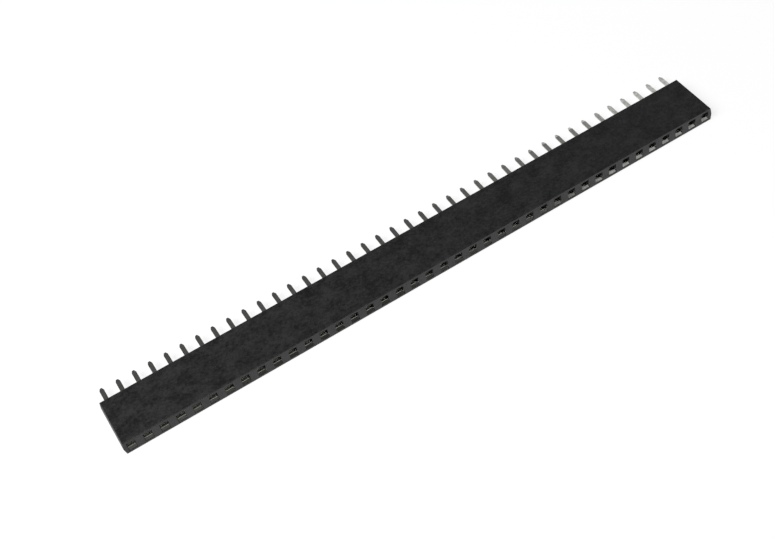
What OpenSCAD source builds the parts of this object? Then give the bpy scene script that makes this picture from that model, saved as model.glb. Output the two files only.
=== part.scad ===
// Female pin header strip: one row of sockets at 2.54 mm pitch, lying on its long side.
// The row runs along X, the sockets face -Y and the solder tails point along +Y.
// The origin is under the middle of the whole part, on the side that it lies on.

/* [Row] */
// Number of contacts in the row
ways = 40; // [2:1:58]
// Distance between neighbouring contacts
pitch = 2.54; // [2:0.01:4]

/* [Housing] */
// Depth of the housing, from the mating face to the board face
body_d = 8.5; // [7:0.1:14]
// Thickness of the housing across its two long sides
body_h = 2.5; // [2.1:0.05:4]
// Housing beyond the centre of the first and of the last contact
end_l = 1.27; // [0.9:0.01:3]
// Radius of the moulded edges
edge_r = 0.12; // [0.05:0.01:0.2]
// How far each end falls back from its middle line to the long sides
end_fall = 0.2; // [0.05:0.01:0.25]
// Width of a contact cavity along the row
cavity_w = 1.3; // [1.25:0.05:1.6]
// Height of a contact cavity between the long walls
cavity_h = 1.65; // [1.55:0.05:1.9]
// Depth of the chamfer round the mouth of a cavity
mouth_chamfer = 0.04; // [0.02:0.01:0.12]
// Thickness of the floor between the cavities and the board face
floor_t = 1.3; // [0.8:0.05:2]
// Length along the row of the solder relief round each tail
relief_w = 1.5; // [1.2:0.05:1.8]
// Height of the solder relief
relief_h = 1.3; // [1:0.05:1.6]
// Depth of the solder relief into the board face
relief_d = 0.25; // [0.1:0.05:0.5]

/* [Contact strip] */
// Thickness of the sheet that the contact is stamped from
strip_t = 0.2; // [0.16:0.01:0.24]
// Inner radius of the two folds of the root
fold_r = 0.12; // [0.08:0.01:0.2]
// Length of the notches that free the leaves and the stem from the folds
notch_l = 0.15; // [0.1:0.05:0.25]
// Length of the folded root
root_l = 1.3; // [0.8:0.05:2]
// Number of barbs on the free edge of each root plate
barbs = 2; // [1:1:3]
// Height of the barbs that bite into the cavity wall
barb_h = 0.07; // [0.04:0.01:0.1]
// Length of one barb
barb_l = 0.35; // [0.2:0.05:0.5]

/* [Contact leaves] */
// Radius of the rounded corners at the tip of a leaf
leaf_corner_r = 0.1; // [0.05:0.01:0.3]
// Clear gap between the two leaves where they grip a pin
grip_gap = 0.3; // [0.2:0.02:0.4]
// Depth of the grip line below the mating face
grip_depth = 1.9; // [1.6:0.05:2.4]
// Radius of the bends at the grip line and at the foot of a leaf
leaf_bend_r = 1.2; // [0.8:0.1:1.6]
// Slope of the funnel between the grip line and the lead-in
funnel_angle = 12; // [8:1:14]
// Slope of the lead-in at the tip of a leaf
lead_angle = 40; // [36:1:50]
// Radius of the bend between the funnel and the lead-in
lead_bend_r = 0.2; // [0.16:0.02:0.4]
// Depth of the foremost corner of a leaf tip below the mating face
tip_depth = 0.02; // [0.01:0.01:0.15]
// Thickness of a leaf at its very tip, where its outer side is coined down
tip_t = 0.1; // [0.06:0.01:0.14]
// Length of the coined slope at the tip of a leaf
coin_l = 0.3; // [0.25:0.01:0.4]

/* [Contact tail] */
// Width of the solder tail and of the stem that carries it through the housing floor
tail_w = 0.7; // [0.4:0.05:0.75]
// Length of the solder tail beyond the board face
tail_l = 3.2; // [2.2:0.1:6]
// Length of the taper at the end of the tail
point_l = 0.5; // [0.3:0.05:0.8]
// Width of the tail at its very end
point_w = 0.3; // [0.2:0.05:0.35]
// Thickness of the tail at its very end
point_t = 0.1; // [0.06:0.01:0.14]
// Length in which the strip steps from the root plate to the middle of the housing
joggle_l = 0.85; // [0.8:0.05:1.2]
// Radius of the two bends of that step, on the middle of the sheet
joggle_r = 0.25; // [0.2:0.01:0.3]

/* [Clearances] */
// Clearance between the root of a contact and the cavity walls
root_fit = 0.03; // [0.01:0.01:0.05]
// Clearance between the side edges of the leaves and the cavity walls
leaf_fit = 0.04; // [0.02:0.01:0.1]
// Clearance between the leaf tips and the cavity walls
tip_fit = 0.02; // [0.01:0.01:0.05]
// Clearance between the stem and its slot in the floor
stem_fit = 0.02; // [0.01:0.01:0.05]

/* [Hidden] */
$fn = 48;
// Overlap that lets a cut start clear of the face that it cuts
over = 0.5;
// Overlap that runs a leaf or the tail into its root plate
lap = 0.2;
// Largest turn of one facet of a bend in the sheet
facet_angle = 5;
// Number of facets round each corner of the mating face
corner_facets = 8;

function two_digits(number) = number < 10 ? str("0", number) : str(number);
function contact_name(number) = str("contact_", two_digits(number));

body_l = (ways - 1) * pitch + 2 * end_l;
whole_d = body_d + tail_l;
mouth_w = cavity_w + 2 * mouth_chamfer;
mouth_h = cavity_h + 2 * mouth_chamfer;
leaf_w = cavity_w - 2 * leaf_fit;
slot_w = tail_w + 2 * stem_fit;
slot_h = strip_t + 2 * stem_fit;

// Depths below the mating face
floor_y = body_d - floor_t;
root_back_y = floor_y - joggle_l;
root_front_y = root_back_y - root_l;
tail_end_y = body_d + tail_l;
// The tip of a leaf on the middle of the sheet, behind the foremost corner on the inner side
tip_y = tip_depth + strip_t / 2 * sin(lead_angle);

// Heights of the middle of the sheet above or below the middle of the cavity
plate_z = cavity_h / 2 - root_fit - strip_t / 2;
grip_z = (grip_gap + strip_t) / 2;
// At the tip the outer corner of the coined slope stays clear of the cavity wall
tip_z = cavity_h / 2 - tip_fit - (tip_t - strip_t / 2) * cos(lead_angle);

// Folded root, measured across the cavity
fold_mid_r = fold_r + strip_t / 2;
web_x = cavity_w / 2 - root_fit - strip_t / 2;
plate_end_x = web_x - fold_mid_r;
plate_edge_x = cavity_w / 2 - barb_h;

// An S-bend of two equal arcs and a straight between them: run is its length, rise is its height and
// arcs is the sum of the two radii
function s_angle(run, rise, arcs) =
    atan2(run, arcs - rise) - acos(arcs / sqrt(pow(run, 2) + pow(arcs - rise, 2)));
function s_straight(run, rise, arcs) = sqrt(pow(run, 2) + pow(rise, 2) - 2 * arcs * rise);

// Foot of a leaf to its grip line
leaf_run = root_front_y - grip_depth;
leaf_rise = plate_z - grip_z;
leaf_angle = s_angle(leaf_run, leaf_rise, 2 * leaf_bend_r);
leaf_straight = s_straight(leaf_run, leaf_rise, 2 * leaf_bend_r);

// Grip line to the tip: what the two bends leave over is shared by two straights
lead_turn = lead_angle - funnel_angle;
left_y = grip_depth - tip_y - leaf_bend_r * sin(funnel_angle)
    - lead_bend_r * (sin(lead_angle) - sin(funnel_angle));
left_z = tip_z - grip_z - leaf_bend_r * (1 - cos(funnel_angle))
    - lead_bend_r * (cos(funnel_angle) - cos(lead_angle));
funnel_straight = (left_y * sin(lead_angle) - left_z * cos(lead_angle)) / sin(lead_turn);
lead_straight = (left_z * cos(funnel_angle) - left_y * sin(funnel_angle)) / sin(lead_turn);

// Step from the root plate to the stem
joggle_angle = s_angle(joggle_l, plate_z, 2 * joggle_r);
joggle_straight = s_straight(joggle_l, plate_z, 2 * joggle_r);

function contact_x(number) = (number - (ways + 1) / 2) * pitch;

// Extrudes a shape drawn as [depth, height] along the row
module along_row(width) {
    rotate([90, 0, 90])
        linear_extrude(height = width, center = true)
            children();
}

// Extrudes a shape drawn as [along the row, depth] through the height
module through_height(height) {
    linear_extrude(height = height, center = true)
        children();
}

// Extrudes a shape drawn as [along the row, height] from one depth to another
module between_depths(front, back) {
    translate([0, back, 0])
        rotate([90, 0, 0])
            linear_extrude(height = back - front)
                children();
}

// A rectangle about the origin with rounded corners
module rounded_rectangle(length, width, radius) {
    square([length - 2 * radius, width], center = true);
    square([length, width - 2 * radius], center = true);
    for (side_x = [-1, 1], side_y = [-1, 1])
        translate([side_x * (length / 2 - radius), side_y * (width / 2 - radius)])
            circle(r = radius);
}

// The middle line of a folded sheet as [place, heading] pairs. Each step is a straight, then a bend of a
// radius through an angle, which turns left if it is positive; the last step has no bend
function middle_line(steps, place, heading, index = 0) =
    let (
        angle = steps[index][2],
        centre_off = sign(angle) * steps[index][1],
        bend_at = place + steps[index][0] * [cos(heading), sin(heading)],
        centre = bend_at + centre_off * [-sin(heading), cos(heading)],
        facets = ceil(abs(angle) / facet_angle),
        turns = [for (facet = [1:1:facets]) heading + angle * facet / facets],
        bend = [for (turn = turns) [centre + centre_off * [sin(turn), -cos(turn)], turn]]
    )
    concat(
        [[bend_at, heading]],
        bend,
        index == len(steps) - 1 ? [] : middle_line(steps, bend[facets - 1][0], heading + angle, index + 1)
    );

// A folded sheet seen on its edge: its middle line with half the sheet on each side
module folded_sheet(steps, place) {
    line = concat([[place, 0]], middle_line(steps, place, 0));
    left = [for (point = line) point[0] + strip_t / 2 * [-sin(point[1]), cos(point[1])]];
    right = [for (point = line) point[0] - strip_t / 2 * [-sin(point[1]), cos(point[1])]];
    polygon(concat(left, [for (index = [len(line) - 1:-1:0]) right[index]]));
}

// One quarter of the outline of the mating face: the end falls back from its middle line to a rounded corner
function face_quarter() =
    let (
        fall_angle = atan2(end_fall, body_h / 2),
        corner_z = body_h / 2 - edge_r,
        corner_x = body_l / 2 - (edge_r + corner_z * sin(fall_angle)) / cos(fall_angle),
        turns = [for (facet = [0:corner_facets]) fall_angle + (90 - fall_angle) * facet / corner_facets]
    )
    concat([[body_l / 2, 0]], [for (turn = turns) [corner_x, corner_z] + edge_r * [cos(turn), sin(turn)]]);

// Outline of the mating face, drawn as [along the row, height]
module face_outline() {
    right_up = face_quarter();
    last = len(right_up) - 1;
    left_up = [for (index = [last:-1:0]) [-right_up[index][0], right_up[index][1]]];
    left_down = [for (index = [1:last]) -right_up[index]];
    right_down = [for (index = [last:-1:1]) [right_up[index][0], -right_up[index][1]]];
    polygon(concat(right_up, left_up, left_down, right_down));
}

// Outer form of the housing, with its long edges and its ends rounded
module housing_block() {
    intersection() {
        along_row(body_l + over)
            rounded_rectangle(body_d, body_h, edge_r);
        between_depths(-body_d / 2 - over, body_d / 2 + over)
            face_outline();
    }
}

// Chamfered mouth of a cavity: two tapered prisms that cross
module cavity_mouth() {
    intersection() {
        along_row(mouth_w + over)
            polygon([
                [-over, -mouth_h / 2 - over],
                [mouth_chamfer, -cavity_h / 2],
                [mouth_chamfer, cavity_h / 2],
                [-over, mouth_h / 2 + over]
            ]);
        through_height(mouth_h + over)
            polygon([
                [-mouth_w / 2 - over, -over],
                [-cavity_w / 2, mouth_chamfer],
                [cavity_w / 2, mouth_chamfer],
                [mouth_w / 2 + over, -over]
            ]);
    }
}

// Everything that is cored out of the housing for one contact, measured from the mating face
module contact_room() {
    between_depths(mouth_chamfer, floor_y)
        square([cavity_w, cavity_h], center = true);
    cavity_mouth();
    between_depths(floor_y - over, body_d + over)
        square([slot_w, slot_h], center = true);
    between_depths(body_d - relief_d, body_d + over)
        square([relief_w, relief_h], center = true);
}

// Glass-filled black moulding with one cavity for each contact
module housing() {
    color("#2a2a2b")
        translate([0, body_d / 2 - whole_d / 2, body_h / 2])
            difference() {
                housing_block();
                for (number = [1:ways])
                    translate([contact_x(number), -body_d / 2, 0])
                        contact_room();
            }
}

// One spring leaf on the lower side: foot, grip line, funnel and lead-in, with a rounded and coined tip
module leaf() {
    difference() {
        intersection() {
            mirror([0, 1, 0])
                along_row(leaf_w)
                    folded_sheet([
                        [lap, leaf_bend_r, leaf_angle],
                        [leaf_straight, leaf_bend_r, -leaf_angle - funnel_angle],
                        [funnel_straight, lead_bend_r, -lead_turn],
                        [lead_straight, 0, 0]
                    ], [-root_front_y - lap, -plate_z]);
            through_height(body_h)
                leaf_outline();
        }
        along_row(leaf_w + over)
            translate([tip_y, -tip_z])
                rotate(lead_angle)
                    coined_slope();
    }
}

// What coining takes off the outer side of a leaf tip, with the first axis along the lead-in: a wedge
// about the middle of the coined slope, twice as long and as deep as the slope
module coined_slope() {
    coin_depth = strip_t - tip_t;
    translate([coin_l / 2, (coin_depth - strip_t) / 2])
        polygon([
            [-coin_l, coin_depth],
            [coin_l, -coin_depth],
            [-coin_l, -coin_depth]
        ]);
}

// The leaf seen from above, drawn as [along the row, depth]
module leaf_outline() {
    corner_x = leaf_w / 2 - leaf_corner_r;
    foot_x = min(leaf_w / 2, plate_edge_x);
    translate([-leaf_w / 2, tip_depth + leaf_corner_r])
        square([leaf_w, root_front_y - notch_l - tip_depth - leaf_corner_r]);
    translate([-foot_x, root_front_y - 2 * notch_l])
        square([foot_x + min(leaf_w / 2, plate_end_x), 2 * notch_l + lap]);
    translate([-corner_x, tip_depth])
        square([2 * corner_x, leaf_corner_r]);
    for (side = [-1, 1])
        translate([side * corner_x, tip_depth + leaf_corner_r])
            circle(r = leaf_corner_r);
}

// The folded section of the root: two plates joined by a web, open towards the barbs
module root_section() {
    outer_w = 2 * (web_x + strip_t / 2);
    outer_h = 2 * plate_z + strip_t;
    difference() {
        rounded_rectangle(outer_w, outer_h, fold_r + strip_t);
        rounded_rectangle(outer_w - 2 * strip_t, outer_h - 2 * strip_t, fold_r);
        translate([-cavity_w - plate_edge_x, -cavity_h / 2])
            square([cavity_w, cavity_h]);
    }
}

// The root: behind the lower plate only the web and the upper plate go on, and seat on the cavity floor
module root() {
    between_depths(root_front_y, root_back_y)
        root_section();
    between_depths(root_back_y - lap, floor_y)
        intersection() {
            root_section();
            translate([-cavity_w / 2, -plate_z + fold_mid_r])
                square([cavity_w, cavity_h]);
        }
    for (side = [-1, 1], number = [1:barbs])
        translate([0, root_front_y + (number - 0.5) * root_l / barbs, side * plate_z])
            barb();
}

// A barb on the free edge of a root plate: it slides in tail first and bites on the way out
module barb() {
    through_height(strip_t)
        polygon([
            [-plate_edge_x + strip_t, barb_l / 2],
            [-plate_edge_x, barb_l / 2],
            [-cavity_w / 2, -barb_l / 2],
            [-plate_edge_x + strip_t, -barb_l / 2]
        ]);
}

// The step to the middle, the stem through the floor and the pointed solder tail
module tail() {
    intersection() {
        along_row(tail_w) {
            folded_sheet([
                [lap, joggle_r, joggle_angle],
                [joggle_straight, joggle_r, -joggle_angle],
                [tail_end_y - point_l - floor_y, 0, 0]
            ], [root_back_y - lap, -plate_z]);
            translate([tail_end_y - point_l, 0])
                polygon([
                    [0, -strip_t / 2],
                    [point_l, -point_t / 2],
                    [point_l, point_t / 2],
                    [0, strip_t / 2]
                ]);
        }
        through_height(body_h)
            tail_outline();
    }
}

// The stem and tail seen from above, drawn as [along the row, depth]
module tail_outline() {
    translate([-tail_w / 2, root_back_y - lap])
        square([tail_w / 2 + min(tail_w / 2, plate_end_x), lap + 2 * notch_l]);
    polygon([
        [-tail_w / 2, root_back_y + notch_l],
        [tail_w / 2, root_back_y + notch_l],
        [tail_w / 2, tail_end_y - point_l],
        [point_w / 2, tail_end_y],
        [-point_w / 2, tail_end_y],
        [-tail_w / 2, tail_end_y - point_l]
    ]);
}

// One contact, stamped from tin-plated phosphor bronze and folded, in its place in the row
module contact(number) {
    color("#b9b7b0")
        translate([contact_x(number), -whole_d / 2, body_h / 2]) {
            root();
            tail();
            for (side = [0, 1])
                mirror([0, 0, side])
                    leaf();
        }
}

housing();
for (number = [1:ways])
    contact(number);
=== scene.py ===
import math

import bpy
import numpy as np
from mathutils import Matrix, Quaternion, Vector

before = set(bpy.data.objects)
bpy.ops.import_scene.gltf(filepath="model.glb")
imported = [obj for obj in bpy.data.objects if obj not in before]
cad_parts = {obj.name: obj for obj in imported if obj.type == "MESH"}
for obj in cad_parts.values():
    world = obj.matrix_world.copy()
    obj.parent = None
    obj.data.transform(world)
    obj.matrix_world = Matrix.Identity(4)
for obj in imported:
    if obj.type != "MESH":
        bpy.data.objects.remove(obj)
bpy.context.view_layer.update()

# Housing: one bar moulded in black glass-filled polyester (PBT), with a cored cavity for each contact.
# It comes out of a spark-eroded steel mould, so its faces are satin with a very fine even grain.

MM = 0.001                      # the scene is in metres
COLOUR_A, COLOUR_B = 6, 7       # a Mix node's colour inputs, which share their names with its number inputs
COLOUR_RESULT = 2               # its colour output, which shares its name in the same way


def linear(hex_colour):
    """An sRGB colour such as "2a2a2b" as linear RGBA: each channel c becomes ((c + 0.055) / 1.055) ^ 2.4."""
    channels = np.array([int(hex_colour[start:start + 2], 16) for start in (0, 2, 4)]) / 255
    curved = ((channels + 0.055) / 1.055) ** 2.4
    return (*np.where(channels > 0.04045, curved, channels / 12.92), 1.0)


def add_node(tree, kind, values=None, links=None, **settings):
    """Adds a node to a tree with its settings, the values of its inputs and the outputs linked to them."""
    node = tree.nodes.new(kind)
    for name, setting in settings.items():
        setattr(node, name, setting)
    for name, value in (values or {}).items():
        node.inputs[name].default_value = value
    for name, output in (links or {}).items():
        tree.links.new(output, node.inputs[name])
    return node


def new_material(name):
    """An empty node material of that name, and its node tree."""
    material = bpy.data.materials.new(name)
    material.use_nodes = True
    material.node_tree.nodes.clear()
    return material, material.node_tree


def per_metre(size_mm):
    """The scale that gives a pattern on Object coordinates a repeat of that many millimetres."""
    return 1 / (size_mm * MM)


def moulded_pbt():
    """Satin black: cloudy where the melt cooled unevenly, and faintly flecked with grey where glass fibres
    lie near the skin. Fibre-rich places are a little rougher, and a fine spark grain covers it all."""
    resin = linear("070708")
    fibre_rich = linear("242425")
    cloud_mm = (2.8, 2.4, 2.4)          # along the row, through the depth and through the height
    fibre_mm = (0.45, 0.38, 0.38)       # the real fibres are 0.01 mm thick: drawn as bundles, to show
    fibre_share = 0.5
    noise_low, noise_high = 0.38, 0.62  # where most of the noise lies
    spark_grain_mm = 0.30               # the real grain is 0.05 mm: drawn coarser, to show
    spark_depth_mm = 0.010
    roughness_low, roughness_high = 0.46, 0.62
    pbt_ior = 1.55

    material, tree = new_material("moulded_glass_filled_pbt")
    place = add_node(tree, "ShaderNodeTexCoord").outputs["Object"]
    cloud_place = add_node(tree, "ShaderNodeMapping", {"Scale": [per_metre(size) for size in cloud_mm]},
                           {"Vector": place})
    cloud = add_node(tree, "ShaderNodeTexNoise", {"Scale": 1.0, "Detail": 3.0, "Roughness": 0.6},
                     {"Vector": cloud_place.outputs["Vector"]})
    fibre_place = add_node(tree, "ShaderNodeMapping", {"Scale": [per_metre(size) for size in fibre_mm]},
                           {"Vector": place})
    fibre = add_node(tree, "ShaderNodeTexNoise", {"Scale": 1.0, "Detail": 2.0, "Roughness": 0.6},
                     {"Vector": fibre_place.outputs["Vector"]})
    both = add_node(tree, "ShaderNodeMix", {"Factor": fibre_share},
                    {"A": cloud.outputs["Fac"], "B": fibre.outputs["Fac"]}, data_type="FLOAT")
    mottle = add_node(tree, "ShaderNodeMapRange", {"From Min": noise_low, "From Max": noise_high},
                      {"Value": both.outputs["Result"]})
    colour = add_node(tree, "ShaderNodeMix", {COLOUR_A: resin, COLOUR_B: fibre_rich},
                      {"Factor": mottle.outputs["Result"]}, data_type="RGBA")
    roughness = add_node(tree, "ShaderNodeMapRange", {"To Min": roughness_low, "To Max": roughness_high},
                         {"Value": mottle.outputs["Result"]})
    grain = add_node(tree, "ShaderNodeTexNoise",
                     {"Scale": per_metre(spark_grain_mm), "Detail": 4.0, "Roughness": 0.65},
                     {"Vector": place})
    bump = add_node(tree, "ShaderNodeBump", {"Strength": 1.0, "Distance": spark_depth_mm * MM},
                    {"Height": grain.outputs["Fac"]})
    shader = add_node(tree, "ShaderNodeBsdfPrincipled", {"IOR": pbt_ior},
                      {"Base Color": colour.outputs[COLOUR_RESULT], "Roughness": roughness.outputs["Result"],
                       "Normal": bump.outputs["Normal"]})
    add_node(tree, "ShaderNodeOutputMaterial", links={"Surface": shader.outputs["BSDF"]})
    return material


def finish_node(name, material):
    """Gives a CAD node one material on its whole surface."""
    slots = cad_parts[name].data.materials
    slots.clear()
    slots.append(material)


finish_node("housing", moulded_pbt())

# Contacts: stamped from 0.2 mm phosphor bronze strip with a bright tin plate, folded, and pushed into the
# cavities from the mating face. Only the tails and the leaves inside the openings show.

def tin_plated_bronze():
    """Bright tin: grey metal that mirrors softly, dulled in small patches, with faint rolling lines along
    each contact."""
    tin = linear("d6d6d2")
    dull_tin = linear("b2b2ad")
    rolling_line_mm = (0.05, 2.5, 0.05)     # the real lines are about 0.01 mm apart: drawn coarser
    patch_mm = 0.45                         # dull patches, where the plate has tarnished a little
    noise_low, noise_high = 0.36, 0.64
    line_share = 0.35
    plate_grain_mm = 0.06                   # the real grain is about 0.003 mm: drawn coarser
    plate_grain_depth_mm = 0.0012
    roughness_low, roughness_high = 0.07, 0.18

    material, tree = new_material("bright_tin_plated_strip")
    place = add_node(tree, "ShaderNodeTexCoord").outputs["Object"]
    line_place = add_node(tree, "ShaderNodeMapping",
                          {"Scale": [per_metre(size) for size in rolling_line_mm]}, {"Vector": place})
    lines = add_node(tree, "ShaderNodeTexNoise", {"Scale": 1.0, "Detail": 3.0, "Roughness": 0.6},
                     {"Vector": line_place.outputs["Vector"]})
    patches = add_node(tree, "ShaderNodeTexNoise",
                       {"Scale": per_metre(patch_mm), "Detail": 3.0, "Roughness": 0.55}, {"Vector": place})
    both = add_node(tree, "ShaderNodeMix", {"Factor": line_share},
                    {"A": patches.outputs["Fac"], "B": lines.outputs["Fac"]}, data_type="FLOAT")
    dullness = add_node(tree, "ShaderNodeMapRange", {"From Min": noise_low, "From Max": noise_high},
                        {"Value": both.outputs["Result"]})
    colour = add_node(tree, "ShaderNodeMix", {COLOUR_A: tin, COLOUR_B: dull_tin},
                      {"Factor": dullness.outputs["Result"]}, data_type="RGBA")
    roughness = add_node(tree, "ShaderNodeMapRange", {"To Min": roughness_low, "To Max": roughness_high},
                         {"Value": dullness.outputs["Result"]})
    grain = add_node(tree, "ShaderNodeTexNoise",
                     {"Scale": per_metre(plate_grain_mm), "Detail": 2.0, "Roughness": 0.5},
                     {"Vector": place})
    bump = add_node(tree, "ShaderNodeBump", {"Strength": 1.0, "Distance": plate_grain_depth_mm * MM},
                    {"Height": grain.outputs["Fac"]})
    shader = add_node(tree, "ShaderNodeBsdfPrincipled", {"Metallic": 1.0},
                      {"Base Color": colour.outputs[COLOUR_RESULT], "Roughness": roughness.outputs["Result"],
                       "Normal": bump.outputs["Normal"]})
    add_node(tree, "ShaderNodeOutputMaterial", links={"Surface": shader.outputs["BSDF"]})
    return material


tin_plate = tin_plated_bronze()
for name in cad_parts:
    if name.startswith("contact_"):
        finish_node(name, tin_plate)

# Floor: a wide sheet of pale card that the strip lies on, white to the camera and in reflections, with the
# strip's own soft shadow. Its underside is clear, so that the strip can be looked at from below.

def kinds_of_ray(tree):
    """The output that is 1 for camera rays, and the one that is 1 for rays off a mirror or through glass."""
    path = add_node(tree, "ShaderNodeLightPath").outputs
    mirrored = add_node(tree, "ShaderNodeMath",
                        links={0: path["Is Glossy Ray"], 1: path["Is Transmission Ray"]},
                        operation="MAXIMUM")
    return path["Is Camera Ray"], mirrored.outputs["Value"]


def pale_card():
    """Pale matt card: part of its white is a glow that only camera, mirror and glass rays meet.
    Away from the strip, where less lamp light falls, the glow makes up for it."""
    card = linear("7c7c7c")
    near_glow, far_glow = 0.84, 1.0
    near, far = 0.25, 1.0       # metres from the middle of the strip

    material, tree = new_material("pale_floor_card")
    camera_ray, mirrored_ray = kinds_of_ray(tree)
    seen = add_node(tree, "ShaderNodeMath", links={0: camera_ray, 1: mirrored_ray}, operation="MAXIMUM")
    place = add_node(tree, "ShaderNodeTexCoord").outputs["Object"]
    distance = add_node(tree, "ShaderNodeVectorMath", links={"Vector": place}, operation="LENGTH")
    glow = add_node(tree, "ShaderNodeMapRange",
                    {"From Min": near, "From Max": far, "To Min": near_glow, "To Max": far_glow},
                    {"Value": distance.outputs["Value"]})
    strength = add_node(tree, "ShaderNodeMath", links={0: seen.outputs["Value"], 1: glow.outputs["Result"]},
                        operation="MULTIPLY")
    emission = add_node(tree, "ShaderNodeEmission", links={"Strength": strength.outputs["Value"]})
    diffuse = add_node(tree, "ShaderNodeBsdfDiffuse", {"Color": card})
    above = add_node(tree, "ShaderNodeAddShader",
                     links={0: diffuse.outputs["BSDF"], 1: emission.outputs["Emission"]})
    clear = add_node(tree, "ShaderNodeBsdfTransparent")
    from_below = add_node(tree, "ShaderNodeNewGeometry").outputs["Backfacing"]
    sides = add_node(tree, "ShaderNodeMixShader",
                     links={"Fac": from_below, 1: above.outputs["Shader"], 2: clear.outputs["BSDF"]})
    add_node(tree, "ShaderNodeOutputMaterial", links={"Surface": sides.outputs["Shader"]})
    return material


scene = bpy.context.scene
floor_half = 4.0            # metres from its middle to each edge
floor_z = -0.02 * MM        # just under the strip, so that the two never lie in one plane
floor_mesh = bpy.data.meshes.new("floor")
floor_mesh.from_pydata([(-floor_half, -floor_half, floor_z), (floor_half, -floor_half, floor_z),
                        (floor_half, floor_half, floor_z), (-floor_half, floor_half, floor_z)],
                       [], [(0, 1, 2, 3)])
floor_mesh.materials.append(pale_card())
floor = bpy.data.objects.new("floor", floor_mesh)
scene.collection.objects.link(floor)

# Light: one bright panel to the left lights the strip, and no tail or lead-in mirrors it to the camera.
# They mirror weak panels instead: the lead-ins those in front of the strip, and the tails those behind it.
# In both rows the panel furthest to the right is much the brightest, and the tin is palest at that end.

def ceiling_panel(name, centre, width, depth, radiance):
    """A level lamp that shines straight down, in metres. A flat lamp of radiance L gives pi x L x area
    watts, and a radiance of 1 is white."""
    lamp = bpy.data.lights.new(name, "AREA")
    lamp.shape = "RECTANGLE"
    lamp.size = width
    lamp.size_y = depth
    lamp.energy = math.pi * radiance * width * depth
    holder = bpy.data.objects.new(name, lamp)
    holder.location = centre
    holder.visible_camera = False
    scene.collection.objects.link(holder)


ceiling_panel("left_panel", centre=(-0.60, -0.18, 0.60), width=0.6, depth=0.6, radiance=10.5)
ceiling_panel("left_front_panel", centre=(-0.13, -0.60, 0.64), width=0.3, depth=0.6, radiance=0.075)
ceiling_panel("middle_front_panel", centre=(0.26, -0.60, 0.64), width=0.16, depth=0.6, radiance=0.03)
ceiling_panel("right_front_panel", centre=(0.442, -0.60, 0.64), width=0.2, depth=0.6, radiance=0.46)
ceiling_panel("rear_panel", centre=(0.10, 0.66, 0.65), width=0.72, depth=0.6, radiance=0.08)
ceiling_panel("right_rear_panel", centre=(0.375, 0.66, 0.64), width=0.22, depth=0.6, radiance=0.11)
ceiling_panel("far_right_rear_panel", centre=(0.49, 0.66, 0.63), width=0.2, depth=0.6, radiance=0.62)

# Room: dim overhead, so that the satin housing and the tin stay dark between the panels, with low white
# walls that both of them mirror. The camera itself sees white all round.

def pale_walled_room():
    """A dim world that is white to camera rays. To rays off a mirror or through glass it is white up to the
    top of its walls, and fades from there to the dim ceiling. Heights are sines of the angle above level."""
    dim_level = 0.043
    wall_top = math.sin(math.radians(6))
    ceiling_start = math.sin(math.radians(12))

    world = bpy.data.worlds.new("pale_walled_room")
    world.use_nodes = True
    tree = world.node_tree
    tree.nodes.clear()
    camera_ray, mirrored_ray = kinds_of_ray(tree)
    direction = add_node(tree, "ShaderNodeTexCoord").outputs["Generated"]
    height = add_node(tree, "ShaderNodeSeparateXYZ", links={"Vector": direction}).outputs["Z"]
    wall = add_node(tree, "ShaderNodeMapRange",
                    {"From Min": wall_top, "From Max": ceiling_start, "To Min": 1.0, "To Max": 0.0},
                    {"Value": height})
    mirrored_wall = add_node(tree, "ShaderNodeMath", links={0: mirrored_ray, 1: wall.outputs["Result"]},
                             operation="MULTIPLY")
    white = add_node(tree, "ShaderNodeMath", links={0: camera_ray, 1: mirrored_wall.outputs["Value"]},
                     operation="MAXIMUM")
    strength = add_node(tree, "ShaderNodeMapRange", {"To Min": dim_level, "To Max": 1.0},
                        {"Value": white.outputs["Value"]})
    background = add_node(tree, "ShaderNodeBackground", {"Color": linear("ffffff")},
                          {"Strength": strength.outputs["Result"]})
    add_node(tree, "ShaderNodeOutputWorld", links={"Surface": background.outputs["Background"]})
    return world


scene.world = pale_walled_room()

# Camera: in front of the strip, to its left and well above it, turned a little about its own axis.
# The lens is shifted a little, which brings the strip to the middle of its view.

camera_aim = Vector((5.1, -4.9, 0.0)) * MM
camera_distance = 199.0 * MM
camera_azimuth = math.radians(-23.3)
camera_elevation = math.radians(49.4)
camera_roll = math.radians(-11.7)

lens = bpy.data.cameras.new("camera")
lens.sensor_width = 36.0
lens.lens = 62.3
lens.shift_x = -0.0995
lens.shift_y = -0.0178
lens.clip_start = 0.01
camera = bpy.data.objects.new("camera", lens)
towards_camera = Vector((math.sin(camera_azimuth) * math.cos(camera_elevation),
                         -math.cos(camera_azimuth) * math.cos(camera_elevation),
                         math.sin(camera_elevation)))
camera.location = camera_aim + camera_distance * towards_camera
camera.rotation_mode = "QUATERNION"
camera.rotation_quaternion = (-towards_camera).to_track_quat("-Z", "Y") @ Quaternion((0, 0, 1), camera_roll)
scene.collection.objects.link(camera)
scene.camera = camera
scene.view_settings.view_transform = "Standard"
